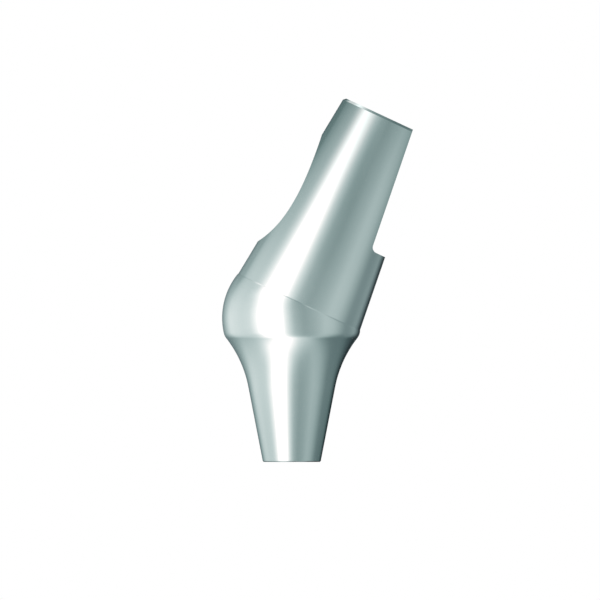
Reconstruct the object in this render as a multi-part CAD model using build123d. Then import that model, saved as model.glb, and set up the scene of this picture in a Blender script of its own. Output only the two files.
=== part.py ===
from build123d import *
import math
import os

# Angled dental abutment, turned and milled from one piece of titanium.
# Millimetres and degrees. The origin is the centre of the foot, +Z runs up the implant's
# axis, and the post leans towards +X. The part is alike on both sides of the XZ plane.

# Connection taper, which wedges into the implant
foot_radius = 0.962
foot_edge_break = 0.03
taper_half_angle = 11.0
taper_length = 2.50

# Flared neck and collar, which carry the gum
collar_radius = 2.243
collar_height = 4.197
collar_edge_round = 0.45

# Ball at the elbow: its centre, where the two axes cross, stands this far above the collar
crossing_rise = 0.605

# Post for the crown, measured along its own axis from the crossing. The ball is faced off
# where the post starts, and a narrow bevel leads from its edge to the post's side.
post_lean = 25.0
post_half_angle = 6.0
post_side_radius = 2.298
post_start = 0.543
post_bevel_height = 0.054
post_height = 7.395
post_edge_break = 0.08

# Flat that keeps the crown from turning, with the ledge at its foot
flat_depth = 0.508
ledge_height = 3.15
ledge_round = 0.20

# Abutment screw, which isn't part of this piece, and the room it is given
screw_thread_radius = 0.70
screw_thread_clearance = 0.05
screw_head_radius = 0.98
screw_head_clearance = 0.06
screw_seat_height = 2.40
screw_seat_half_angle = 45.0

# Access bore, through which the screw and its driver go in; it leans back a little,
# away from the post, and ends in a flat floor below the point where it crosses the
# implant's axis
access_radius = 1.104
access_lean_back = 1.2
access_crossing_height = 6.11
access_floor_depth = 0.60

# Sizes that follow from those above
crossing_height = collar_height + crossing_rise
ball_radius = math.hypot(collar_radius, crossing_rise)
taper_top_radius = foot_radius + taper_length * math.tan(math.radians(taper_half_angle))
post_taper = math.tan(math.radians(post_half_angle))
ball_edge_radius = math.sqrt(ball_radius**2 - post_start**2)
screw_bore_radius = screw_thread_radius + screw_thread_clearance
channel_radius = screw_head_radius + screw_head_clearance
seat_depth = (channel_radius - screw_bore_radius) / math.tan(math.radians(screw_seat_half_angle))

# Frame of the post: its origin is the crossing and its Z is the post's axis
post_frame = Pos(0, 0, crossing_height) * Rot(0, post_lean, 0)


def post_radius_at(height):
    """Radius of the post's cone at a height along its axis."""
    return post_side_radius - height * post_taper


def turned_base():
    """Connection taper, flared neck and ball, turned about the implant's axis."""
    foot_edge = (foot_radius, 0)
    taper_top = (taper_top_radius, taper_length)
    collar_edge = (collar_radius, collar_height)
    up_the_taper = (math.sin(math.radians(taper_half_angle)), math.cos(math.radians(taper_half_angle)))
    collar_angle = -math.degrees(math.atan2(crossing_rise, collar_radius))
    with BuildPart() as base:
        with BuildSketch(Plane.XZ) as section:
            with BuildLine():
                foot = Line((0, 0), foot_edge)
                taper = Line(foot @ 1, taper_top)
                neck = TangentArc(taper @ 1, collar_edge, tangent=up_the_taper)
                ball = CenterArc((0, crossing_height), ball_radius, collar_angle, 90 - collar_angle)
                Line(ball @ 1, (0, 0))
            make_face()
            corners = section.vertices()
            fillet(corners.sort_by_distance(collar_edge)[0], collar_edge_round)
            chamfer(section.vertices().sort_by_distance(foot_edge)[0], foot_edge_break)
        revolve(axis=Axis.Z)
    return base.part


def ball_facing():
    """What is faced off the ball above the plane on which the post stands."""
    facing = Cylinder(2 * ball_radius, ball_radius, align=(Align.CENTER, Align.CENTER, Align.MIN))
    return post_frame * Pos(0, 0, post_start) * facing


def leaning_post():
    """Tapered post with its bevelled foot and broken top edge, standing on the faced ball."""
    bevel_top = post_start + post_bevel_height
    top_edge = (post_radius_at(post_height), post_height)
    with BuildPart() as post:
        with BuildSketch(Plane.XZ) as section:
            with BuildLine():
                Polyline(
                    (0, post_start),
                    (ball_edge_radius, post_start),
                    (post_radius_at(bevel_top), bevel_top),
                    top_edge,
                    (0, post_height),
                    close=True,
                )
            make_face()
            rim = section.vertices().sort_by_distance(top_edge)[0]
            chamfer(rim, post_edge_break)
        revolve(axis=Axis.Z)
    return post_frame * post.part


def flat_cutter():
    """What the mill takes away beside the flat, down to the ledge and its rounded corner."""
    # The flat runs parallel to the post's side, flat_depth inside it
    inset = flat_depth / math.cos(math.radians(post_half_angle))
    top = post_height + ball_radius
    outside = 2 * ball_radius
    ledge_corner = (post_radius_at(ledge_height) - inset, ledge_height)
    with BuildPart() as cutter:
        with BuildSketch(Plane.XZ) as section:
            with BuildLine():
                Polyline(
                    ledge_corner,
                    (outside, ledge_height),
                    (outside, top),
                    (post_radius_at(top) - inset, top),
                    close=True,
                )
            make_face()
            fillet(section.vertices().sort_by_distance(ledge_corner)[0], ledge_round)
        extrude(amount=ball_radius, both=True)
    return post_frame * cutter.part


def screw_passage():
    """Screw bore with its broken mouth, conical seat and channel for the screw's head."""
    with BuildPart() as passage:
        with BuildSketch(Plane.XZ):
            with BuildLine():
                Polyline(
                    (0, -foot_edge_break),
                    (screw_bore_radius + 2 * foot_edge_break, -foot_edge_break),
                    (screw_bore_radius, foot_edge_break),
                    (screw_bore_radius, screw_seat_height),
                    (channel_radius, screw_seat_height + seat_depth),
                    (channel_radius, access_crossing_height),
                    (0, access_crossing_height),
                    close=True,
                )
            make_face()
        revolve(axis=Axis.Z)
    return passage.part


def access_bore():
    """Bore from the head channel out through the back of the post."""
    bore_frame = Pos(0, 0, access_crossing_height) * Rot(0, -access_lean_back, 0)
    length = access_floor_depth + crossing_height + post_height
    cutter = Cylinder(access_radius, length, align=(Align.CENTER, Align.CENTER, Align.MIN))
    return bore_frame * Pos(0, 0, -access_floor_depth) * cutter


abutment = turned_base() - ball_facing() + leaning_post()
abutment = abutment - flat_cutter() - screw_passage() - access_bore()

os.makedirs("parts", exist_ok=True)
export_step(abutment, "parts/abutment.step")
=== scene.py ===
"""Looks of an angled dental abutment, turned and milled from one piece of titanium.

The part stands in its CAD frame: the origin is the centre of the foot, +Z runs up the
implant's axis, and the post leans towards +X. Sizes here are in millimetres and degrees,
and the meshes and node inputs are in metres.
"""

from __future__ import annotations

import logging
import math
from dataclasses import dataclass, field
from enum import Enum
from typing import Callable, Iterable, NamedTuple, Sequence

import bmesh
import bpy
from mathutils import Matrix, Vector
from mathutils.geometry import delaunay_2d_cdt

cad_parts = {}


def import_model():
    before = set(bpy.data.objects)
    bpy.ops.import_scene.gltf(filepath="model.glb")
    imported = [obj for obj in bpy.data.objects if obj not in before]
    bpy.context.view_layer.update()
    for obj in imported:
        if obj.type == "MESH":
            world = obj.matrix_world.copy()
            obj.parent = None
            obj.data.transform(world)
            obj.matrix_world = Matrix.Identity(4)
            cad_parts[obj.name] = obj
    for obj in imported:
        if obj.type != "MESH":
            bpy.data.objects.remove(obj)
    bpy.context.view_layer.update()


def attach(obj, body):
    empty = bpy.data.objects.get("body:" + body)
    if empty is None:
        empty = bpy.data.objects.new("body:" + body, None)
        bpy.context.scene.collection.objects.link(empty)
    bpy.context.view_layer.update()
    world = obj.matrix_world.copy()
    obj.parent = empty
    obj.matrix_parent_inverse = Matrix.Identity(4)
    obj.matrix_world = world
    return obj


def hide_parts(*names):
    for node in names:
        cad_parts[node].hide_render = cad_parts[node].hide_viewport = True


Colour = tuple[float, float, float, float]
Pair = tuple[float, float]
Triple = tuple[float, float, float]
# What can feed a node's input: a socket, or a node by its first output in use
Feed = bpy.types.Node | bpy.types.NodeSocket

LOG = logging.getLogger("abutment")
MM = 0.001
SEGMENTS = 288
WELD_DISTANCE = 2e-7
SHARP_ANGLE = math.radians(20)
SIDEWAYS = Vector((0, 1, 0))
TURN = [math.tau * step / SEGMENTS for step in range(SEGMENTS)]


class Cut(Enum):
    """How a face of the part was cut, which decides the marks that it carries."""

    TURNED_BASE = "base_turned_titanium"
    TURNED_POST = "post_turned_titanium"
    MILLED_FLAT = "flat_milled_titanium"
    BORED_PASSAGE = "passage_bored_titanium"


class Spot(NamedTuple):
    """A point of a surface in millimetres, and the way that the surface faces there."""

    at: Vector
    facing: Vector


class Place(NamedTuple):
    """A point on a turned surface: its angle about the axis and its height along it."""

    angle: float
    height: float


def linear_colour(hex_code: str) -> Colour:
    """Turns an sRGB hex colour into the linear colour that a shader takes.

    Args:
        hex_code: six hex digits, with or without a leading hash sign.

    Returns:
        Linear red, green and blue, and an alpha of one.
    """
    digits = hex_code.lstrip("#")
    channels = [int(digits[i : i + 2], 16) / 255 for i in (0, 2, 4)]
    linear = [c / 12.92 if c <= 0.04045 else ((c + 0.055) / 1.055) ** 2.4 for c in channels]
    return (*linear, 1.0)


def add_node(
    tree: bpy.types.NodeTree,
    kind: str,
    inputs: dict[str | int, object] | None = None,
    **settings: object,
) -> bpy.types.Node:
    """Adds a node to a tree with its settings and its inputs.

    Args:
        tree: the tree that gets the node.
        kind: the node's type name.
        inputs: input names or numbers, each with a constant or with what feeds it, which is
            a socket, a node by its first output in use, or a list of these.
        settings: properties of the node and their values.

    Returns:
        The new node.
    """
    node = tree.nodes.new(kind)
    for name, value in settings.items():
        setattr(node, name, value)
    for key, value in (inputs or {}).items():
        for source in value if isinstance(value, list) else [value]:
            if isinstance(source, bpy.types.Node):
                source = next(output for output in source.outputs if output.enabled)
            if isinstance(source, bpy.types.NodeSocket):
                tree.links.new(source, node.inputs[key])
            else:
                node.inputs[key].default_value = source
    return node


def new_material(name: str) -> tuple[bpy.types.Material, bpy.types.NodeTree, Feed]:
    """Makes a node material without a shader yet.

    Args:
        name: its name.

    Returns:
        The material, its node tree, and what gives the point in the object's coordinates.
    """
    material = bpy.data.materials.new(name)
    material.use_nodes = True
    tree = material.node_tree
    tree.nodes.clear()
    return material, tree, add_node(tree, "ShaderNodeTexCoord").outputs["Object"]


@dataclass(frozen=True)
class TurningAxis:
    """An axis in the plane of symmetry, about which a feature is turned or bored.

    Attributes:
        crossing: height at which it crosses the implant's axis.
        lean: degrees that it leans from the vertical, positive towards +X.
    """

    crossing: float = 0.0
    lean: float = 0.0

    @property
    def origin(self) -> Vector:
        """The point where the axis crosses the implant's axis."""
        return Vector((0, 0, self.crossing))

    @property
    def along(self) -> Vector:
        """Unit vector up the axis."""
        return Vector((math.sin(math.radians(self.lean)), 0, math.cos(math.radians(self.lean))))

    @property
    def across(self) -> Vector:
        """Unit vector square to the axis in the plane of symmetry, where angles start."""
        return Vector((self.along.z, 0, -self.along.x))

    def radial(self, angle: float) -> Vector:
        """Unit vector away from the axis at an angle about it."""
        return math.cos(angle) * self.across + math.sin(angle) * SIDEWAYS

    def point(self, angle: float, radius: float, height: float) -> Vector:
        """The point at an angle, radius and height about the axis."""
        return self.origin + radius * self.radial(angle) + height * self.along

    def offset(self, across: float, sideways: float, height: float) -> Vector:
        """The point at distances across and sideways from the axis, at a height along it."""
        return self.origin + height * self.along + across * self.across + sideways * SIDEWAYS

    def facing(self, angle: float, tilt: float) -> Vector:
        """Unit vector away from the axis at an angle, tilted up the axis by some radians."""
        return math.cos(tilt) * self.radial(angle) + math.sin(tilt) * self.along

    def spot(self, angle: float, radius: float, height: float, tilt: float) -> Spot:
        """The spot at an angle, radius and height, of a surface that faces up by its tilt."""
        return Spot(self.point(angle, radius, height), self.facing(angle, tilt))

    def place(self, point: Vector) -> Place:
        """Angle and height of a point, with the angle from 0 to a full turn."""
        arm = point - self.origin
        return Place(math.atan2(arm.y, arm.dot(self.across)) % math.tau, arm.dot(self.along))


IMPLANT_AXIS = TurningAxis()


def between(first: float, last: float, count: int) -> list[float]:
    """Evenly spaced numbers from first to last, both included."""
    return [first + (last - first) * step / (count - 1) for step in range(count)]


def on_circle(radius: float, angle: float) -> Pair:
    """The point of a circle at an angle."""
    return radius * math.cos(angle), radius * math.sin(angle)


def band_faces(rows: int, count: int) -> list[tuple[int, int, int, int]]:
    """Lists the four-sided faces between closed rows of corners.

    Args:
        rows: how many rows there are, each next to the one before.
        count: how many corners each row has.

    Returns:
        The corner numbers of each face, band by band.
    """
    faces = []
    for low in range(0, (rows - 1) * count, count):
        for i in range(count):
            after = (i + 1) % count
            faces.append((low + i, low + after, low + count + after, low + count + i))
    return faces


def fill_outline(
    outline: Sequence[Pair], hole: Sequence[Pair] = (), inner: Sequence[Pair] = ()
) -> tuple[list[Pair], list[Sequence[int]]]:
    """Fills a flat outline with triangles.

    Args:
        outline: the outer line, a closed run of points.
        hole: a closed run of points round a convex hole, which stays open.
        inner: points inside, which the triangles also use.

    Returns:
        The points, and the triangles as numbers of three points each.
    """
    given = [Vector(point) for point in (*hole, *outline, *inner)]
    edges: list[tuple[int, int]] = []
    for first, loop in ((0, hole), (len(hole), outline)):
        edges.extend((first + i, first + (i + 1) % len(loop)) for i in range(len(loop)))
    inside_edges = 1
    same_point = 1e-7
    points, _, triangles, origins, _, _ = delaunay_2d_cdt(given, edges, [], inside_edges, same_point)
    on_hole = {n for n, numbers in enumerate(origins) if any(o < len(hole) for o in numbers)}
    kept = [triangle for triangle in triangles if not on_hole.issuperset(triangle)]
    return [tuple(point) for point in points], kept


class Skin:
    """Gathers the faces of every surface of the part and welds them into one closed mesh."""

    def __init__(self, turned: bpy.types.Mesh) -> None:
        """Starts the skin from the turned base.

        Args:
            turned: the base's outside and the passage below the channel's end, in metres.
        """
        self.mesh = bmesh.new()
        self.mesh.from_mesh(turned)
        self.facing = self.mesh.loops.layers.float_vector.new("facing")
        self.cuts = list(Cut)
        for face in self.mesh.faces:
            away = face.calc_center_median()
            inward = face.normal.x * away.x + face.normal.y * away.y < 0
            face.material_index = self.cuts.index(Cut.BORED_PASSAGE if inward else Cut.TURNED_BASE)

    def add(self, spots: Sequence[Spot], faces: Iterable[Sequence[int]], cut: Cut) -> None:
        """Adds faces whose winding follows the way that the surface faces.

        Args:
            spots: the surface's points.
            faces: each face as numbers of spots.
            cut: how the surface was cut.
        """
        verts = [self.mesh.verts.new(spot.at * MM) for spot in spots]
        for numbers in faces:
            corners = [spots[n] for n in numbers]
            normal = (corners[1].at - corners[0].at).cross(corners[-1].at - corners[0].at)
            outward = sum((corner.facing for corner in corners), Vector())
            order = list(numbers) if normal.dot(outward) >= 0 else list(reversed(numbers))
            face = self.mesh.faces.new([verts[n] for n in order])
            face.smooth = True
            face.material_index = self.cuts.index(cut)
            for loop, number in zip(face.loops, order):
                loop[self.facing] = spots[number].facing

    def add_bands(self, rows: Sequence[Sequence[Spot]], cut: Cut) -> None:
        """Adds bands of four-sided faces between closed rows with as many spots each."""
        self.add([spot for row in rows for spot in row], band_faces(len(rows), len(rows[0])), cut)

    def close(self, name: str, finishes: dict[Cut, bpy.types.Material]) -> bpy.types.Object:
        """Welds the surfaces and makes the object.

        Args:
            name: the object's name.
            finishes: the material of each kind of cut.

        Returns:
            The finished object, at the origin.

        Raises:
            ValueError: if the welded skin has an open edge.
        """
        bmesh.ops.remove_doubles(self.mesh, verts=self.mesh.verts, dist=WELD_DISTANCE)
        open_edges = [edge for edge in self.mesh.edges if len(edge.link_faces) != 2]
        if open_edges:
            middle = sum((v.co for v in open_edges[0].verts), Vector()) / 2
            raise ValueError(f"{len(open_edges)} edges of {name} are open, one at {middle}")
        mesh = bpy.data.meshes.new(name)
        self.mesh.to_mesh(mesh)
        self.mesh.free()
        for cut in self.cuts:
            mesh.materials.append(finishes[cut])
        mesh.set_sharp_from_angle(angle=SHARP_ANGLE)
        facing = mesh.attributes["facing"]
        mesh.normals_split_custom_set([tuple(item.vector) for item in facing.data])
        mesh.attributes.remove(mesh.attributes["facing"])
        piece = bpy.data.objects.new(name, mesh)
        bpy.context.scene.collection.objects.link(piece)
        return piece


@dataclass
class ScrewPassage:
    """Screw bore with its broken mouth, conical seat and channel for the screw's head."""

    bore_radius: float = 0.75
    mouth_break: float = 0.03
    seat_height: float = 2.40
    channel_radius: float = 1.04
    revolved_height: float = 5.30

    def section(self) -> dict[str, Pair]:
        """Corners of the passage's half-section, from the foot up, as radius and height."""
        # The seat leans 45 degrees, so it is as deep as it is wide
        seat_depth = self.channel_radius - self.bore_radius
        return {
            "Foot inner edge": (self.bore_radius + self.mouth_break, 0),
            "Bore mouth": (self.bore_radius, self.mouth_break),
            "Seat foot": (self.bore_radius, self.seat_height),
            "Seat top": (self.channel_radius, self.seat_height + seat_depth),
            "Channel end": (self.channel_radius, self.revolved_height),
        }


@dataclass
class TurnedBase:
    """Connection taper, flared neck and collar, turned about the implant's axis.

    The ball at the elbow starts on the round of the collar's edge.
    """

    foot_radius: float = 0.962
    foot_edge_break: float = 0.03
    taper_half_angle: float = 11.0
    taper_length: float = 2.50
    collar_radius: float = 2.243
    collar_height: float = 4.197
    collar_edge_round: float = 0.45
    crossing_height: float = 4.802
    ball_rows: int = 24
    flare_steps: int = 48
    collar_steps: int = 16
    passage: ScrewPassage = field(default_factory=ScrewPassage)

    @property
    def ball_radius(self) -> float:
        """Radius of the ball, which passes through the collar's unrounded edge."""
        return math.hypot(self.collar_radius, self.crossing_height - self.collar_height)

    def section(self) -> dict[str, Pair]:
        """Works out the half-section of the outside, by tangency where arcs meet.

        Returns:
            Each named point of it, from the ball down to the foot, as radius and height.
        """
        slope = math.radians(self.taper_half_angle)
        up_taper = Vector((math.sin(slope), math.cos(slope)))
        taper_foot = Vector((self.foot_radius, 0)) + self.foot_edge_break * up_taper
        taper_radius = self.foot_radius + self.taper_length * math.tan(slope)
        taper_top = Vector((taper_radius, self.taper_length))
        collar_edge = Vector((self.collar_radius, self.collar_height))
        square = Vector((up_taper.y, -up_taper.x))
        chord = collar_edge - taper_top
        flare_radius = chord.length_squared / (2 * chord.dot(square))
        flare_centre = taper_top + flare_radius * square
        ball_centre = Vector((0, self.crossing_height))
        round_centre = self._round_centre(flare_centre, flare_radius, ball_centre, collar_edge)
        collar_foot = flare_centre + flare_radius * (round_centre - flare_centre).normalized()
        collar_top = ball_centre + self.ball_radius * (round_centre - ball_centre).normalized()
        round_way = (collar_foot + collar_top) / 2 - round_centre
        flare_way = (collar_foot + taper_top) / 2 - flare_centre
        points = {
            "Collar top": collar_top,
            "Collar middle": round_centre + self.collar_edge_round * round_way.normalized(),
            "Collar foot": collar_foot,
            "Flare middle": flare_centre + flare_radius * flare_way.normalized(),
            "Taper top": taper_top,
            "Taper foot": taper_foot,
            "Foot outer edge": Vector((self.foot_radius - self.foot_edge_break, 0)),
        }
        return {name: (point.x, point.y) for name, point in points.items()}

    def _round_centre(
        self, flare_centre: Vector, flare_radius: float, ball_centre: Vector, near: Vector
    ) -> Vector:
        """Finds the centre of the collar's edge round, tangent to the flare and the ball.

        Args:
            flare_centre: centre of the flare's arc, outside the metal.
            flare_radius: the flare arc's radius.
            ball_centre: centre of the ball.
            near: the unrounded edge, which the wanted centre is near.

        Returns:
            The centre, as radius and height.
        """
        from_flare = flare_radius + self.collar_edge_round
        from_ball = self.ball_radius - self.collar_edge_round
        span = ball_centre - flare_centre
        along = (from_flare**2 - from_ball**2 + span.length_squared) / (2 * span.length)
        off = math.sqrt(from_flare**2 - along**2)
        foot = flare_centre + along * span.normalized()
        side = Vector((-span.y, span.x)).normalized()
        return min((foot + off * side, foot - off * side), key=lambda found: (found - near).length)

    def lathe_inputs(self, finish: bpy.types.Material) -> dict[str, tuple[str, object]]:
        """Lists what the lathe's node tree is given.

        Args:
            finish: the material that the tree sets.

        Returns:
            The socket type and the value of each named input. The vectors are the points of
            the half-section, from the ball down to the foot and up the passage.
        """
        section = {**self.section(), **self.passage.section()}
        inputs: dict[str, tuple[str, object]] = {
            name: ("NodeSocketVector", (radius * MM, 0.0, height * MM))
            for name, (radius, height) in section.items()
        }
        inputs["Segments"] = ("NodeSocketInt", SEGMENTS)
        inputs["Collar steps"] = ("NodeSocketInt", self.collar_steps)
        inputs["Flare steps"] = ("NodeSocketInt", self.flare_steps)
        inputs["Path radius"] = ("NodeSocketFloat", self.passage.bore_radius * MM)
        inputs["Finish"] = ("NodeSocketMaterial", finish)
        return inputs

    def lathe_tree(self, inputs: dict[str, tuple[str, object]]) -> bpy.types.NodeTree:
        """Builds the node tree that draws the half-section and turns it about the axis.

        Args:
            inputs: the socket type and the value of each named input.

        Returns:
            The tree.
        """
        tree = bpy.data.node_groups.new("turn_half_section", "GeometryNodeTree")
        sockets = tree.interface
        sockets.new_socket(name="Geometry", in_out="OUTPUT", socket_type="NodeSocketGeometry")
        for name, (socket_type, _) in inputs.items():
            sockets.new_socket(name=name, in_out="INPUT", socket_type=socket_type)
        given = add_node(tree, "NodeGroupInput").outputs
        arcs = {
            ("Collar top", "Collar foot"): ("Collar middle", "Collar steps"),
            ("Collar foot", "Taper top"): ("Flare middle", "Flare steps"),
        }
        points = [name for name, (kind, _) in inputs.items() if kind == "NodeSocketVector"]
        corners = [name for name in points if not name.endswith("middle")]
        curves = []
        for start, end in zip(corners, corners[1:]):
            run = {"Start": given[start], "End": given[end]}
            if (start, end) in arcs:
                middle, steps = arcs[start, end]
                run |= {"Middle": given[middle], "Resolution": given[steps]}
                curves.append(add_node(tree, "GeometryNodeCurveArc", run, mode="POINTS"))
            else:
                curves.append(add_node(tree, "GeometryNodeCurvePrimitiveLine", run))
        joined = add_node(tree, "GeometryNodeJoinGeometry", {"Geometry": curves})
        # The sweep lays the half-section's X along the path's radius and its Y down the axis
        flip = {0: given["Path radius"], 1: -1.0}
        back = add_node(tree, "ShaderNodeMath", flip, operation="MULTIPLY")
        shift = add_node(tree, "ShaderNodeCombineXYZ", {"X": back})
        stance = {"Geometry": joined, "Translation": shift, "Rotation": (math.pi / 2, 0, 0)}
        laid = add_node(tree, "GeometryNodeTransform", stance)
        circle = {"Resolution": given["Segments"], "Radius": given["Path radius"]}
        path = add_node(tree, "GeometryNodeCurvePrimitiveCircle", circle)
        swept = add_node(tree, "GeometryNodeCurveToMesh", {"Curve": path, "Profile Curve": laid})
        weld = {"Geometry": swept, "Distance": WELD_DISTANCE}
        welded = add_node(tree, "GeometryNodeMergeByDistance", weld)
        smooth = add_node(tree, "GeometryNodeSetShadeSmooth", {"Geometry": welded})
        real = add_node(tree, "GeometryNodeRealizeInstances", {"Geometry": smooth})
        dress = {"Geometry": real, "Material": given["Finish"]}
        dressed = add_node(tree, "GeometryNodeSetMaterial", dress)
        add_node(tree, "NodeGroupOutput", {"Geometry": dressed})
        return tree

    def turned_mesh(self, finish: bpy.types.Material) -> bpy.types.Mesh:
        """Turns the half-section into a plain mesh.

        Args:
            finish: the material that the tree sets.

        Returns:
            The base's outside up to the ball, and the passage up to the channel's end.
        """
        inputs = self.lathe_inputs(finish)
        tree = self.lathe_tree(inputs)
        blank = bpy.data.objects.new("lathe_blank", bpy.data.meshes.new("lathe_blank"))
        bpy.context.scene.collection.objects.link(blank)
        lathe = blank.modifiers.new("turn", "NODES")
        lathe.node_group = tree
        for item in tree.interface.items_tree:
            if item.in_out == "INPUT":
                lathe[item.identifier] = inputs[item.name][1]
        evaluated = blank.evaluated_get(bpy.context.evaluated_depsgraph_get())
        turned = bpy.data.meshes.new_from_object(evaluated)
        blank.modifiers.remove(lathe)
        bpy.data.objects.remove(blank)
        return turned

    def add_ball(self, skin: Skin, top: Sequence[Vector]) -> None:
        """Adds the ball between the collar's edge and the row where the post stands.

        Args:
            skin: what gathers the faces.
            top: the points of that row, one for each segment.
        """
        radius, height = self.section()["Collar top"]
        centre = Vector((0, 0, self.crossing_height))
        bottom = [IMPLANT_AXIS.point(angle, radius, height) for angle in TURN]
        starts = [(point - centre).normalized() for point in bottom]
        ends = [(point - centre).normalized() for point in top]
        rows = []
        for share in between(0, 1, self.ball_rows + 1):
            ways = [start.slerp(end, share).normalized() for start, end in zip(starts, ends)]
            rows.append([Spot(centre + self.ball_radius * way, way) for way in ways])
        skin.add_bands(rows, Cut.TURNED_BASE)


@dataclass
class LeaningPost:
    """Tapered post with its flat and ledge, on an axis that leans towards +X.

    The last fields say how finely its faces are divided. The two rooms are the least angle
    from the flat's edge to the next spot: in segments on the cone, in radians at the top.
    """

    axis: TurningAxis = TurningAxis(crossing=4.802, lean=25.0)
    side_radius: float = 2.298
    half_angle: float = 6.0
    start: float = 0.543
    bevel_height: float = 0.054
    height: float = 7.395
    edge_break: float = 0.08
    flat_depth: float = 0.508
    ledge_height: float = 3.15
    ledge_round: float = 0.20
    row_spacing: float = 0.10
    ledge_spots: int = 40
    corner_spots: int = 13
    flat_spots: int = 48
    top_edge_rows: int = 5
    side_room: float = 0.6
    top_room: float = 0.01

    @property
    def slope(self) -> float:
        """The cone's half angle in radians."""
        return math.radians(self.half_angle)

    @property
    def foot(self) -> float:
        """Height at which the bevel ends and the cone begins."""
        return self.start + self.bevel_height

    @property
    def side_top(self) -> float:
        """Height at which the cone ends and its broken top edge begins."""
        return self.height - self.edge_break * math.cos(self.slope)

    @property
    def rim_radius(self) -> float:
        """Radius at which the broken edge meets the top face."""
        return self.radius_at(self.height) - self.edge_break

    @property
    def row_room(self) -> float:
        """Least distance of the cone's inner points from its ledge and from the bore's rim."""
        return self.row_spacing / 3

    def radius_at(self, height: float) -> float:
        """Radius of the post's cone at a height along its axis."""
        return self.side_radius - height * math.tan(self.slope)

    def flat_at(self, height: float) -> float:
        """How far the flat stands from the axis at a height along it."""
        return self.radius_at(height) - self.flat_depth / math.cos(self.slope)

    def break_radius(self, height: float) -> float:
        """Radius of the broken top edge at a height."""
        share = (height - self.side_top) / (self.height - self.side_top)
        return (1 - share) * self.radius_at(self.side_top) + share * self.rim_radius

    def side_spot(self, place: Place) -> Spot:
        """A spot of the cone at an angle and height."""
        return self.axis.spot(place.angle, self.radius_at(place.height), place.height, self.slope)

    def foot_row(self, ball_radius: float) -> list[Vector]:
        """The row where the post's bevel leaves the ball, one point for each segment."""
        radius = math.sqrt(ball_radius**2 - self.start**2)
        return [self.axis.point(angle, radius, self.start) for angle in TURN]

    def add_bevel(self, skin: Skin, ball_radius: float) -> None:
        """Adds the narrow bevel from the ball's edge to the cone.

        Polishing has softened its two edges, so its shading runs into the ball's and the cone's.

        Args:
            skin: what gathers the faces.
            ball_radius: radius of the ball that the post stands on.
        """
        low, high = math.sqrt(ball_radius**2 - self.start**2), self.radius_at(self.foot)
        own_tilt = math.atan2(low - high, self.bevel_height)
        lines = (
            (low, self.start, math.asin(self.start / ball_radius)),
            ((low + high) / 2, (self.start + self.foot) / 2, own_tilt),
            (high, self.foot, self.slope),
        )
        rows = [[self.axis.spot(angle, *line) for angle in TURN] for line in lines]
        skin.add_bands(rows, Cut.TURNED_POST)

    def corner_section(self) -> list[Pair]:
        """Runs round the corner between ledge and flat.

        Returns:
            Distance from the axis and height of each point, from the ledge to the flat.
        """
        corner = self.flat_at(self.ledge_height)
        across = corner + self.ledge_round * (1 - math.sin(self.slope)) / math.cos(self.slope)
        turns = between(math.radians(270), math.radians(180) + self.slope, self.corner_spots)
        section = [(across, self.ledge_height)]
        for turn in turns[1:]:
            x, y = on_circle(self.ledge_round, turn)
            section.append((across + x, self.ledge_height + self.ledge_round + y))
        return section

    def flat_edge(self) -> list[Place]:
        """The line where ledge, corner round and flat leave the cone, on the near +Y side.

        Returns:
            Places from the ledge's middle, round its arc and up the flat to the broken edge.
        """
        section = self.corner_section()
        turns = [math.acos(across / self.radius_at(height)) for across, height in section]
        ledge_turns = between(0, turns[0], self.ledge_spots)[:-1]
        places = [Place(angle, self.ledge_height) for angle in ledge_turns]
        places += [Place(angle, height) for angle, (_, height) in zip(turns, section)]
        for height in between(section[-1][1], self.side_top, self.flat_spots)[1:]:
            places.append(Place(math.acos(self.flat_at(height) / self.radius_at(height)), height))
        return places

    def top_turns(self, radius: float, height: float) -> list[float]:
        """Divides a row of the top edge, from the flat round the back to the flat.

        Args:
            radius: the row's radius.
            height: its height along the axis.

        Returns:
            The angles of its spots.
        """
        first = math.acos(self.flat_at(height) / radius)
        last = math.tau - first
        return [first, *(a for a in TURN if first + self.top_room < a < last - self.top_room), last]

    def side_grid(self, edge: Sequence[Place]) -> list[Place]:
        """Spreads places over the cone, clear of the ledge and the flat.

        Args:
            edge: the line where ledge, corner round and flat leave the cone.

        Returns:
            The places, row by row.
        """
        rows = math.ceil((self.side_top - self.foot) / self.row_spacing)
        places = []
        for height in between(self.foot, self.side_top, rows + 1)[1:-1]:
            first = 0.0
            if height > self.ledge_height - self.row_room:
                nearest = min(edge, key=lambda place: abs(place.height - height))
                beside = [place for place in edge if abs(place.height - height) <= self.row_spacing]
                first = max(place.angle for place in (nearest, *beside)) + self.side_room * TURN[1]
            angles = [angle for angle in TURN[1:] if first <= min(angle, math.tau - angle)]
            places += [Place(angle, height) for angle in angles]
        return places

    def add_side(self, skin: Skin, rim: Sequence[Place], outside: Callable[[Vector], float]) -> None:
        """Adds the cone, cut away at the flat and where the access bore breaks out.

        Args:
            skin: what gathers the faces.
            rim: the line along which the bore breaks out.
            outside: gives how far a point stands outside the bore, in millimetres.
        """
        edge = self.flat_edge()
        top = self.top_turns(self.radius_at(self.side_top), self.side_top)
        outline = [Place(angle, self.foot) for angle in (*TURN, math.tau)]
        outline += [Place(math.tau - place.angle, place.height) for place in edge]
        outline += [Place(angle, self.side_top) for angle in top[-2:0:-1]]
        outline += edge[::-1]
        grid = self.side_grid(edge)
        inner = [place for place in grid if outside(self.side_spot(place).at) > self.row_room]
        # The cone is filled as if it were a cylinder of its middle radius, and unrolled
        scale = self.radius_at((self.foot + self.height) / 2)
        runs = [[(at.angle * scale, at.height) for at in run] for run in (outline, rim, inner)]
        points, triangles = fill_outline(*runs)
        skin.add([self.side_spot(Place(x / scale, y)) for x, y in points], triangles, Cut.TURNED_POST)

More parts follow.
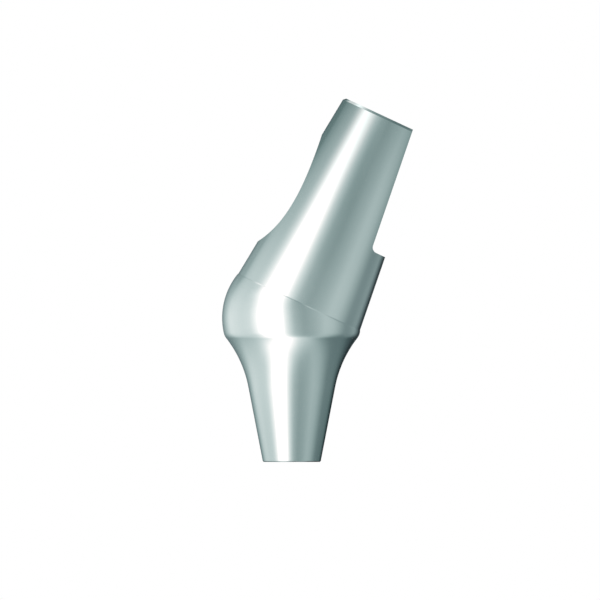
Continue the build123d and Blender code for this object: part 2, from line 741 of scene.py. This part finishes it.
    def add_top(self, skin: Skin) -> None:
        """Adds the broken top edge and the top face.

        Args:
            skin: what gathers the faces.
        """
        tilt = math.atan2(self.radius_at(self.side_top) - self.rim_radius, self.height - self.side_top)
        heights = between(self.side_top, self.height, self.top_edge_rows)
        turns = [self.top_turns(self.break_radius(height), height) for height in heights]
        middle_rows = list(zip(turns, heights))[1:-1]
        outline = [(angle, heights[0]) for angle in turns[0]]
        outline += [(row[-1], height) for row, height in middle_rows]
        outline += [(angle, heights[-1]) for angle in reversed(turns[-1])]
        outline += [(row[0], height) for row, height in reversed(middle_rows)]
        points, triangles = fill_outline(outline)
        spots = [self.axis.spot(angle, self.break_radius(up), up, tilt) for angle, up in points]
        skin.add(spots, triangles, Cut.TURNED_POST)
        rim = [on_circle(self.rim_radius, angle) for angle in turns[-1]]
        self._add_square_face(skin, rim, self.height)

    def _add_square_face(self, skin: Skin, outline: Sequence[Pair], height: float) -> None:
        """Adds a flat face square to the axis, which faces up it.

        Args:
            skin: what gathers the faces.
            outline: its corners, as distances across and sideways from the axis.
            height: its height along the axis.
        """
        points, triangles = fill_outline(outline)
        spots = [Spot(self.axis.offset(x, y, height), self.axis.along) for x, y in points]
        skin.add(spots, triangles, Cut.MILLED_FLAT)

    def add_ledge(self, skin: Skin) -> None:
        """Adds the ledge and the round of its inner corner.

        Args:
            skin: what gathers the faces.
        """
        radius = self.radius_at(self.ledge_height)
        arc = [place.angle for place in self.flat_edge() if place.height == self.ledge_height]
        half = [on_circle(radius, angle) for angle in arc]
        self._add_square_face(skin, half + [(x, -y) for x, y in half[:0:-1]], self.ledge_height)

        section = self.corner_section()
        centre = self.axis.offset(section[0][0], 0, self.ledge_height + self.ledge_round)
        spots = []
        for across, height in section:
            wide = math.sqrt(self.radius_at(height) ** 2 - across**2)
            facing = (centre - self.axis.offset(across, 0, height)).normalized()
            spots += [Spot(self.axis.offset(across, side * wide, height), facing) for side in (-1, 1)]
        faces = [(i, i + 1, i + 3, i + 2) for i in range(0, len(spots) - 2, 2)]
        skin.add(spots, faces, Cut.MILLED_FLAT)

    def add_flat(self, skin: Skin) -> None:
        """Adds the flat above the ledge's corner.

        Args:
            skin: what gathers the faces.
        """
        foot = self.corner_section()[-1][1]
        heights = [foot] + [place.height for place in self.flat_edge() if place.height > foot]
        heights += between(self.side_top, self.height, self.top_edge_rows)[1:]
        side = []
        for height in heights:
            radius = self.break_radius(height) if height > self.side_top else self.radius_at(height)
            side.append((math.sqrt(radius**2 - self.flat_at(height) ** 2), height))
        points, triangles = fill_outline(side + [(-y, height) for y, height in reversed(side)])
        facing = self.axis.facing(0, self.slope)
        spots = [Spot(self.axis.offset(self.flat_at(up), y, up), facing) for y, up in points]
        skin.add(spots, triangles, Cut.MILLED_FLAT)


@dataclass
class AccessBore:
    """Bore for the screw and its driver, which breaks out through the back of the post."""

    axis: TurningAxis = TurningAxis(crossing=6.11, lean=-1.2)
    radius: float = 1.104
    floor_depth: float = 0.60
    wall_rows: int = 16

    def reach(self, post: LeaningPost, angle: float) -> float:
        """Finds where a line up the bore's wall comes out of the post.

        Args:
            post: the post that it breaks out of.
            angle: the line's angle about the bore's axis.

        Returns:
            The height along the bore's axis.
        """
        start = self.axis.point(angle, self.radius, 0) - post.axis.origin
        way = self.axis.along
        slope = math.tan(post.slope)
        start_up, way_up = start.dot(post.axis.along), way.dot(post.axis.along)
        start_radius = post.side_radius - slope * start_up
        # The cone is met where squared * height**2 + 2 * linear * height + constant is zero
        squared = 1 - way_up**2 * (1 + slope**2)
        linear = start.dot(way) - start_up * way_up + slope * way_up * start_radius
        constant = start.length_squared - start_up**2 - start_radius**2
        return (-linear + math.sqrt(linear * linear - squared * constant)) / squared

    def rim(self, post: LeaningPost) -> list[Place]:
        """The line on the post's cone along which the bore breaks out."""
        points = [self.axis.point(angle, self.radius, self.reach(post, angle)) for angle in TURN]
        return [post.axis.place(point) for point in points]

    def outside(self, post: LeaningPost, point: Vector) -> float:
        """Measures how far a point of the cone stands outside the bore.

        Args:
            post: the post that the bore breaks out of.
            point: the point.

        Returns:
            The distance, which is endless on the post's front, where the bore doesn't come.
        """
        arm = point - self.axis.origin
        if (point - post.axis.origin).dot(post.axis.across) > 0:
            return math.inf
        return (arm - arm.dot(self.axis.along) * self.axis.along).length - self.radius

    def add(self, skin: Skin, post: LeaningPost, passage: ScrewPassage) -> None:
        """Adds the bore's wall, its flat floor and the end of the head channel.

        Args:
            skin: what gathers the faces.
            post: the post that it breaks out of.
            passage: the screw passage that it leads to.
        """
        rows: list[list[Spot]] = [[] for _ in range(self.wall_rows + 1)]
        for angle in TURN:
            heights = between(-self.floor_depth, self.reach(post, angle), self.wall_rows + 1)
            for row, height in zip(rows, heights):
                row.append(Spot(self.axis.point(angle, self.radius, height), -self.axis.radial(angle)))
        skin.add_bands(rows, Cut.BORED_PASSAGE)

        lean = math.radians(self.axis.lean)
        channel, floor = [[], []], [[], []]
        for angle, outer in zip(TURN, rows[0]):
            across = passage.channel_radius * math.cos(angle)
            top = self.axis.crossing - (self.floor_depth + across * math.sin(lean)) / math.cos(lean)
            for row, height in zip(channel, (passage.revolved_height, top)):
                at = IMPLANT_AXIS.point(angle, passage.channel_radius, height)
                row.append(Spot(at, -IMPLANT_AXIS.radial(angle)))
            floor[0].append(Spot(channel[1][-1].at, self.axis.along))
            floor[1].append(Spot(outer.at, self.axis.along))
        skin.add_bands(channel, Cut.BORED_PASSAGE)
        skin.add_bands(floor, Cut.BORED_PASSAGE)


@dataclass(frozen=True)
class TitaniumFinish:
    """Surgical titanium alloy as it leaves the machine, washed and not coated.

    The metal is a soft grey with a faint green-blue cast, and its finely cut surface
    blurs what it mirrors a little. The feed marks of the tool run round its axis.

    Attributes:
        cut: the kind of cut, which names the material.
        axis: axis that the marks run round.
        colour: sRGB hex of the metal.
        roughness: how far it blurs what it mirrors.
        roughness_spread: how far the roughness strays either way, in soft clouds.
        cloud_size: size of those clouds in millimetres.
        mark_spacing: distance between feed marks. The real ones are 0.02 mm apart,
            less than a pixel, so they are drawn coarser.
        mark_depth: depth of the marks, kept to a fraction of a micron.
    """

    cut: Cut
    axis: TurningAxis
    colour: str = "#BEC8C7"
    roughness: float = 0.18
    roughness_spread: float = 0.015
    cloud_size: float = 10 / 9
    mark_spacing: float = 0.09
    mark_depth: float = 0.00006

    def material(self) -> bpy.types.Material:
        """Builds the material.

        Returns:
            The node material of this finish.
        """
        metal, tree, where = new_material(self.cut.value)
        turned = (0, math.radians(self.axis.lean), 0)
        stance = {"Vector": where, "Location": tuple(self.axis.origin * MM), "Rotation": turned}
        local = add_node(tree, "ShaderNodeMapping", stance, vector_type="TEXTURE")
        # A wave node's bands repeat every 0.314 of a unit at a scale of one
        wave_scale = math.tau / 20 / (self.mark_spacing * MM)
        marks = add_node(
            tree,
            "ShaderNodeTexWave",
            {"Vector": local, "Scale": wave_scale, "Distortion": 0.6, "Detail": 1.0},
            wave_type="BANDS",
            bands_direction="Z",
            wave_profile="SIN",
        )
        relief = {"Strength": 1.0, "Distance": self.mark_depth * MM, "Height": marks.outputs["Fac"]}
        bump = add_node(tree, "ShaderNodeBump", relief)
        clouds = {"Vector": local, "Scale": 1 / (self.cloud_size * MM), "Detail": 3.0, "Roughness": 0.6}
        cloud = add_node(tree, "ShaderNodeTexNoise", clouds, noise_dimensions="3D")
        # Most of a noise node's values lie between 0.3 and 0.7
        spread = {
            "Value": cloud.outputs["Fac"],
            "From Min": 0.3,
            "From Max": 0.7,
            "To Min": self.roughness - self.roughness_spread,
            "To Max": self.roughness + self.roughness_spread,
        }
        look = {
            "Base Color": linear_colour(self.colour),
            "Metallic": 1.0,
            "Roughness": add_node(tree, "ShaderNodeMapRange", spread),
            "Normal": bump,
        }
        shader = add_node(tree, "ShaderNodeBsdfPrincipled", look)
        add_node(tree, "ShaderNodeOutputMaterial", {"Surface": shader})
        return metal


@dataclass
class Abutment:
    """The whole part: one closed skin of titanium."""

    base: TurnedBase = field(default_factory=TurnedBase)
    post: LeaningPost = field(default_factory=LeaningPost)
    bore: AccessBore = field(default_factory=AccessBore)

    def finishes(self) -> dict[Cut, bpy.types.Material]:
        """The material of each kind of cut."""
        finishes = (
            TitaniumFinish(Cut.TURNED_BASE, IMPLANT_AXIS),
            TitaniumFinish(Cut.TURNED_POST, self.post.axis),
            TitaniumFinish(Cut.MILLED_FLAT, self.post.axis, mark_spacing=0.12),
            TitaniumFinish(Cut.BORED_PASSAGE, self.bore.axis, roughness=0.32),
        )
        return {finish.cut: finish.material() for finish in finishes}

    def build(self) -> bpy.types.Object:
        """Builds the part as one object.

        Returns:
            The finished piece, which stands for the CAD node.
        """
        finishes = self.finishes()
        skin = Skin(self.base.turned_mesh(finishes[Cut.TURNED_BASE]))
        self.base.add_ball(skin, self.post.foot_row(self.base.ball_radius))
        self.post.add_bevel(skin, self.base.ball_radius)
        self.post.add_side(skin, self.bore.rim(self.post), lambda at: self.bore.outside(self.post, at))
        self.post.add_top(skin)
        self.post.add_ledge(skin)
        self.post.add_flat(skin)
        self.bore.add(skin, self.post, self.base.passage)
        piece = skin.close("titanium_abutment", finishes)
        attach(piece, "root")
        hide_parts("abutment")
        return piece


class Stop(NamedTuple):
    """A place along a graded cloth, and its tone or clearness there."""

    place: float
    tone: float


class Card(NamedTuple):
    """A round card on the tent's wall, which fades out softly towards its rim.

    Attributes:
        bearing: degrees round from the camera to its middle, positive to the right.
        rise: degrees up from the level to its middle.
        reach: degrees from its middle to its rim.
        tone: its tone, as a share of the window's.
        cover: the share of the wall's own tone that it covers at its middle.
    """

    bearing: float
    rise: float
    reach: float
    tone: float
    cover: float

    def middle(self) -> Vector:
        """Unit vector to its middle."""
        front, right = on_circle(math.cos(math.radians(self.rise)), math.radians(self.bearing))
        return Vector((right, -front, math.sin(math.radians(self.rise))))


def grade(
    tree: bpy.types.NodeTree, along: Feed, stops: Sequence[Stop], colour: Callable[[float], Colour]
) -> bpy.types.Node:
    """Grades a cloth between its stops.

    Args:
        tree: the cloth's node tree.
        along: gives the value that says how far along the cloth a point is.
        stops: the cloth's tones in order, with the first and the last at its ends.
        colour: gives the colour of a tone.

    Returns:
        The node that gives the graded colour.
    """
    first, last = stops[0].place, stops[-1].place
    share = add_node(tree, "ShaderNodeMapRange", {"Value": along, "From Min": first, "From Max": last})
    ramp = add_node(tree, "ShaderNodeValToRGB", {"Fac": share})
    elements = ramp.color_ramp.elements
    elements[0].color = colour(stops[0].tone)
    elements[1].color = colour(stops[-1].tone)
    for stop in stops[1:-1]:
        elements.new((stop.place - first) / (last - first)).color = colour(stop.tone)
    return ramp


def grey(tone: float) -> Colour:
    """Colour of a tone without a tint."""
    return (tone, tone, tone, 1.0)


def degrees_round(tree: bpy.types.NodeTree, parts: bpy.types.bpy_prop_collection) -> bpy.types.Node:
    """Works out how far round from the camera a point lies.

    Args:
        tree: the cloth's node tree.
        parts: the sockets with the point's X and Y.

    Returns:
        The node that gives the angle in degrees, positive to the right.
    """
    front = add_node(tree, "ShaderNodeMath", {0: parts["Y"], 1: -1.0}, operation="MULTIPLY")
    turn = add_node(tree, "ShaderNodeMath", {0: parts["X"], 1: front}, operation="ARCTAN2")
    return add_node(tree, "ShaderNodeMath", {0: turn}, operation="DEGREES")


def add_stage(mesh: bpy.types.Mesh, cover: bpy.types.Material, mirrored: bool) -> None:
    """Adds a piece of the stage, which isn't part of the object.

    Args:
        mesh: its mesh, after which it is named.
        cover: its material.
        mirrored: whether the metal's reflections see it, and nothing else does, or whether
            all but they see it.
    """
    mesh.materials.append(cover)
    piece = bpy.data.objects.new(mesh.name, mesh)
    piece.visible_glossy = mirrored
    for others in ("camera", "diffuse", "transmission", "volume_scatter", "shadow"):
        setattr(piece, f"visible_{others}", not mirrored)
    bpy.context.scene.collection.objects.link(piece)


@dataclass
class LightTent:
    """Round tent of cloth and cards, which the metal mirrors.

    A tall white window stands to the left of the camera, grey cloth on the far left, darker
    cloth in front and on the right, and a dark gap behind. Light cards lie low in front and
    hang high on the left and behind, and grey ones hang overhead and on the right. Dark cards
    stand low behind, on the far left and on the far right.

    Attributes:
        radius: radius of the tent.
        brightness: strength of a tone of one.
        gain_in_dark: what red, green and blue are multiplied by where the tone is zero.
        gain_by_tone: how much those gains grow up to a tone of one.
        least_gain: the gains never fall below these.
        most_gain: the gains never rise above these, which makes the window a warm white.
        wall: the tone by degrees round from the camera, positive to the right.
        seam_lean: degrees that the wall's seams lean to the left from the level to the top.
        seam_drop: how far below the level, as a share of the radius, the seams still lean.
        cards: the cards on the wall.
    """

    radius: float = 150.0
    brightness: float = 3.3
    gain_in_dark: Triple = (0.71, 1.0, 1.085)
    gain_by_tone: Triple = (0.74, 0.0, -0.5)
    least_gain: Triple = (0.0, 1.0, 1.0)
    most_gain: Triple = (1.24, 1.0, 2.0)
    wall: tuple[Stop, ...] = (
        Stop(-180, 0.04), Stop(-158, 0.145), Stop(-126, 0.41), Stop(-92, 0.37), Stop(-75, 0.38),
        Stop(-60, 0.54), Stop(-41, 1.0), Stop(-28, 0.97), Stop(-11, 0.46), Stop(4, 0.235),
        Stop(20, 0.182), Stop(40, 0.225), Stop(58, 0.285), Stop(74, 0.265), Stop(101, 0.13),
        Stop(113, 0.135), Stop(132, 0.185), Stop(155, 0.01), Stop(180, 0.04),
    )
    seam_lean: float = 4.0
    seam_drop: float = 0.35
    cards: tuple[Card, ...] = (
        Card(bearing=-5, rise=-43, reach=45, tone=0.8, cover=0.19),
        Card(bearing=-17, rise=-72, reach=39, tone=0.79, cover=1.0),
        Card(bearing=-68, rise=-56, reach=25, tone=1.0, cover=0.32),
        Card(bearing=-130, rise=-48, reach=40, tone=0.05, cover=0.45),
        Card(bearing=-42, rise=44, reach=30, tone=1.6, cover=0.5),
        Card(bearing=-75, rise=34, reach=16, tone=0.75, cover=0.2),
        Card(bearing=-88, rise=60, reach=20, tone=1.0, cover=1.0),
        Card(bearing=-12, rise=42, reach=26, tone=1.0, cover=0.35),
        Card(bearing=175, rise=-35, reach=75, tone=0.02, cover=0.9),
        Card(bearing=150, rise=-40, reach=42, tone=0.01, cover=0.6),
        Card(bearing=-139, rise=27, reach=36, tone=0.1, cover=0.6),
        Card(bearing=-174, rise=43, reach=21, tone=0.85, cover=1.0),
        Card(bearing=-172, rise=65, reach=31, tone=1.6, cover=1.0),
        Card(bearing=60, rise=80, reach=34, tone=0.55, cover=0.8),
        Card(bearing=40, rise=35, reach=19, tone=0.5, cover=0.8),
        Card(bearing=83, rise=21, reach=27, tone=0.05, cover=0.95),
    )

    def tint(self, tree: bpy.types.NodeTree, tone: Feed) -> bpy.types.Node:
        """Tints a grey tone: the darker it is, the greener, and the window is a warm white.

        Args:
            tree: the cloth's node tree.
            tone: gives the grey tone.

        Returns:
            The node that gives the tinted colour.
        """
        kind = "ShaderNodeVectorMath"
        gain = {0: tone, 1: self.gain_by_tone, 2: self.gain_in_dark}
        gained = add_node(tree, kind, gain, operation="MULTIPLY_ADD")
        lowered = add_node(tree, kind, {0: gained, 1: self.most_gain}, operation="MINIMUM")
        raised = add_node(tree, kind, {0: lowered, 1: self.least_gain}, operation="MAXIMUM")
        return add_node(tree, kind, {0: raised, 1: tone}, operation="MULTIPLY")

    def card_share(self, tree: bpy.types.NodeTree, way: Feed, card: Card) -> bpy.types.Node:
        """Works out how far a card covers the wall.

        Args:
            tree: the cloth's node tree.
            way: gives the unit vector to the point of the wall.
            card: the card.

        Returns:
            The node that gives the share of the wall's tone that the card takes over.
        """
        to_middle = {0: way, 1: card.middle()}
        nearness = add_node(tree, "ShaderNodeVectorMath", to_middle, operation="DOT_PRODUCT")
        away = add_node(tree, "ShaderNodeMath", {0: nearness}, operation="ARCCOSINE")
        fade = {"Value": away, "From Max": math.radians(card.reach)}
        fade |= {"To Min": math.sqrt(card.cover), "To Max": 0.0}
        inside = add_node(tree, "ShaderNodeMapRange", fade)
        return add_node(tree, "ShaderNodeMath", {0: inside, 1: inside}, operation="MULTIPLY")

    def cloth(self) -> bpy.types.Material:
        """Builds the tent's glowing cloth.

        Returns:
            Its material, which lights nothing by itself and is only mirrored.
        """
        cloth, tree, where = new_material("tent_cloth")
        cloth.cycles.emission_sampling = "NONE"
        way = add_node(tree, "ShaderNodeVectorMath", {0: where}, operation="NORMALIZE")
        parts = add_node(tree, "ShaderNodeSeparateXYZ", {"Vector": way}).outputs
        level = {0: parts["Z"], 1: -self.seam_drop}
        rise = add_node(tree, "ShaderNodeMath", level, operation="MAXIMUM")
        lean = {0: rise, 1: self.seam_lean, 2: degrees_round(tree, parts)}
        leaned = add_node(tree, "ShaderNodeMath", lean, operation="MULTIPLY_ADD")
        tone = grade(tree, leaned, self.wall, grey)
        for card in self.cards:
            covering = {"Factor": self.card_share(tree, way, card), "A": tone, "B": grey(card.tone)}
            tone = add_node(tree, "ShaderNodeMix", covering, data_type="RGBA")
        glow = {"Color": self.tint(tree, tone), "Strength": self.brightness}
        light = add_node(tree, "ShaderNodeEmission", glow)
        add_node(tree, "ShaderNodeOutputMaterial", {"Surface": light})
        return cloth

    def build(self) -> None:
        """Builds the tent round the origin."""
        shape = bmesh.new()
        bmesh.ops.create_uvsphere(shape, u_segments=48, v_segments=24, radius=self.radius * MM)
        bmesh.ops.reverse_faces(shape, faces=shape.faces)
        mesh = bpy.data.meshes.new("tent")
        shape.to_mesh(mesh)
        shape.free()
        add_stage(mesh, self.cloth(), mirrored=True)


class ShadeFlag(NamedTuple):
    """A darker strip of gauze, which paints more shade into the metal's reflections and fades out along
    its height.

    Attributes:
        clearness: the share of light that it lets through, by degrees round from the camera.
        whole_at: the height above the floor at which it starts to fade, and beyond which it
            is whole.
        gone_at: the height at which it has faded out.
    """

    clearness: tuple[Stop, ...]
    whole_at: float
    gone_at: float


@dataclass
class PaintedShadeGauze:
    """Sleeve of grey gauze close round the part, denser towards its top and below the foot.

    Only the metal's reflections see it, and it paints shade into them, more on the post's top than on
    its foot.

    Attributes:
        radius: radius of the sleeve.
        dense_red: the share of red that is left of a grey where the gauze is densest.
        clearness: the share of light that it lets through, by millimetres above the floor.
        flags: the darker strips sewn to it, which paint more shade into the reflections. The first lies
            low, mainly behind on the right.
            The others hang high: on the far left, in front, and all round but for a gap.
    """

    radius: float = 4.6
    dense_red: float = 0.71
    clearness: tuple[Stop, ...] = (
        Stop(-8, 0.83), Stop(-0.4, 0.83), Stop(2, 0.88), Stop(4, 0.96), Stop(5, 0.96), Stop(6.5, 0.91),
        Stop(8.5, 0.88), Stop(10, 0.83), Stop(11.7, 0.76), Stop(18, 0.5), Stop(60, 0.5),
    )
    flags: tuple[ShadeFlag, ...] = (
        ShadeFlag(
            (
                Stop(-180, 0.85), Stop(-131, 0.86), Stop(-116, 0.88), Stop(-98, 1.0), Stop(30, 1.0),
                Stop(60, 0.94), Stop(80, 0.92), Stop(98, 0.87), Stop(116, 0.6), Stop(140, 0.55),
                Stop(180, 0.85),
            ),
            whole_at=2.0,
            gone_at=3.5,
        ),
        ShadeFlag(
            (Stop(-180, 0.8), Stop(-135, 0.76), Stop(-115, 0.78), Stop(-80, 1.0), Stop(180, 1.0)),
            whole_at=13.5,
            gone_at=9.0,
        ),
        ShadeFlag(
            (
                Stop(-180, 1.0), Stop(-8, 1.0), Stop(10, 0.88), Stop(22, 0.88), Stop(40, 1.0),
                Stop(180, 1.0),
            ),
            whole_at=10.0,
            gone_at=6.0,
        ),
        ShadeFlag(
            (
                Stop(-180, 0.82), Stop(32, 0.82), Stop(47, 1.0), Stop(60, 1.0), Stop(78, 0.8),
                Stop(180, 0.82),
            ),
            whole_at=11.0,
            gone_at=6.0,
        ),
    )

    def colour(self, tone: float) -> Colour:
        """Colour of the light that a clearness lets through, greener where it is denser."""
        return (tone * (self.dense_red + (1 - self.dense_red) * tone), tone, tone, 1.0)

    def cloth(self) -> bpy.types.Material:
        """Builds the gauze's see-through cloth.

        Returns:
            Its material, which only takes away light.
        """
        cloth, tree, where = new_material("painted_shade_gauze")
        parts = add_node(tree, "ShaderNodeSeparateXYZ", {"Vector": where}).outputs
        height = add_node(tree, "ShaderNodeMath", {0: parts["Z"], 1: MM}, operation="DIVIDE")
        degrees = degrees_round(tree, parts)
        clear = grade(tree, height, self.clearness, self.colour)
        for flag in self.flags:
            fade = {"Value": height, "From Min": flag.whole_at, "From Max": flag.gone_at}
            fade |= {"To Min": 1.0, "To Max": 0.0}
            share = add_node(tree, "ShaderNodeMapRange", fade)
            strip = grade(tree, degrees, flag.clearness, self.colour)
            dimming = {"Factor": share, "A": clear, "B": strip}
            clear = add_node(tree, "ShaderNodeMix", dimming, data_type="RGBA", blend_type="MULTIPLY")
        # The veil paints shade into what the metal mirrors, darker towards the post's top and where the
        # strips hang
        veil = add_node(tree, "ShaderNodeBsdfTransparent", {"Color": clear})
        add_node(tree, "ShaderNodeOutputMaterial", {"Surface": veil})
        return cloth

    def build(self) -> None:
        """Builds the sleeve about the implant's axis."""
        ends = (self.clearness[0].place, self.clearness[-1].place)
        corners = [IMPLANT_AXIS.point(angle, self.radius, end) * MM for end in ends for angle in TURN]
        mesh = bpy.data.meshes.new("gauze")
        mesh.from_pydata(corners, [], band_faces(len(ends), SEGMENTS))
        add_stage(mesh, self.cloth(), mirrored=True)


@dataclass
class Studio:
    """Pale floor, soft light and the camera at the photograph's angle.

    Attributes:
        frame_width: width of what the camera sees.
        aim_across: how far right of the implant's axis the camera is aimed.
        aim_height: how far above the floor it is aimed.
        camera_distance: how far it stands from the part.
        floor_size: length of the floor's sides.
        floor_grain: size of the mottling in the floor's matt paint.
        lamp_width: width of the round lamp.
        lamp_watts: its power.
        lamp_place: where it hangs.
        lamp_aim: the point that it is turned to.
        tent: what the metal mirrors.
        gauze: what paints shade into the metal's reflections by dimming them.
    """

    frame_width: float = 20.0
    aim_across: float = 0.2743
    aim_height: float = 5.3983
    camera_distance: float = 100.0
    floor_size: float = 400.0
    floor_grain: float = 2.5
    lamp_width: float = 120.0
    lamp_watts: float = 0.06
    lamp_place: Triple = (-90.0, -90.0, 160.0)
    lamp_aim: Triple = (0.0, 0.0, 5.0)
    tent: LightTent = field(default_factory=LightTent)
    gauze: PaintedShadeGauze = field(default_factory=PaintedShadeGauze)

    def add_camera(self) -> None:
        """Adds the camera, which looks straight at the part's side without perspective."""
        lens = bpy.data.cameras.new("side_view")
        lens.type = "ORTHO"
        lens.ortho_scale = self.frame_width * MM
        lens.clip_start = MM
        lens.clip_end = 10 * self.camera_distance * MM
        camera = bpy.data.objects.new("side_view", lens)
        camera.location = (self.aim_across * MM, -self.camera_distance * MM, self.aim_height * MM)
        camera.rotation_euler = (math.pi / 2, 0, 0)
        bpy.context.scene.collection.objects.link(camera)
        bpy.context.scene.camera = camera

    def add_world(self) -> None:
        """Gives the world a plain white at a strength of one."""
        world = bpy.data.worlds.new("white_room")
        world.use_nodes = True
        tree = world.node_tree
        tree.nodes.clear()
        white = add_node(tree, "ShaderNodeBackground", {"Color": grey(1.0), "Strength": 1.0})
        add_node(tree, "ShaderNodeOutputWorld", {"Surface": white})
        bpy.context.scene.world = world

    def floor_paint(self) -> bpy.types.Material:
        """Builds the floor's matt white paint, which is mottled very faintly.

        Returns:
            Its material.
        """
        paint, tree, where = new_material("matt_white_board")
        mottle = {"Vector": where, "Scale": 1 / (self.floor_grain * MM)}
        grain = add_node(tree, "ShaderNodeTexNoise", mottle).outputs["Fac"]
        whites = {"Factor": grain, "A": linear_colour("#F8F8F7"), "B": linear_colour("#FAFAFA")}
        tone = add_node(tree, "ShaderNodeMix", whites, data_type="RGBA")
        shader = add_node(tree, "ShaderNodeBsdfPrincipled", {"Base Color": tone, "Roughness": 0.9})
        add_node(tree, "ShaderNodeOutputMaterial", {"Surface": shader})
        return paint

    def add_floor(self) -> None:
        """Adds the floor under the foot."""
        half = self.floor_size / 2 * MM
        corners = [(-half, -half, 0), (half, -half, 0), (half, half, 0), (-half, half, 0)]
        mesh = bpy.data.meshes.new("floor")
        mesh.from_pydata(corners, [], [(0, 1, 2, 3)])
        add_stage(mesh, self.floor_paint(), mirrored=False)

    def add_lamp(self) -> None:
        """Adds the soft lamp above on the left, which gives the part its shadow."""
        light = bpy.data.lights.new("soft_lamp", "AREA")
        light.shape = "DISK"
        light.size = self.lamp_width * MM
        light.energy = self.lamp_watts
        lamp = bpy.data.objects.new("soft_lamp", light)
        place, aim = Vector(self.lamp_place) * MM, Vector(self.lamp_aim) * MM
        lamp.location = place
        lamp.rotation_euler = (place - aim).to_track_quat("Z", "Y").to_euler()
        lamp.visible_glossy = False
        bpy.context.scene.collection.objects.link(lamp)

    def build(self) -> None:
        """Builds the studio round the part."""
        self.add_camera()
        self.add_world()
        self.add_floor()
        self.tent.build()
        self.gauze.build()
        self.add_lamp()
        bpy.context.scene.view_settings.view_transform = "Standard"


def main() -> None:
    """Builds the part and its studio in order."""
    logging.basicConfig(level=logging.INFO, format="%(name)s: %(message)s")
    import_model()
    Studio().build()
    piece = Abutment().build()
    faces = sum(len(face.vertices) - 2 for face in piece.data.polygons)
    LOG.info("%s: one closed piece of %d triangles", piece.name, faces)


if __name__ == "__main__":
    main()
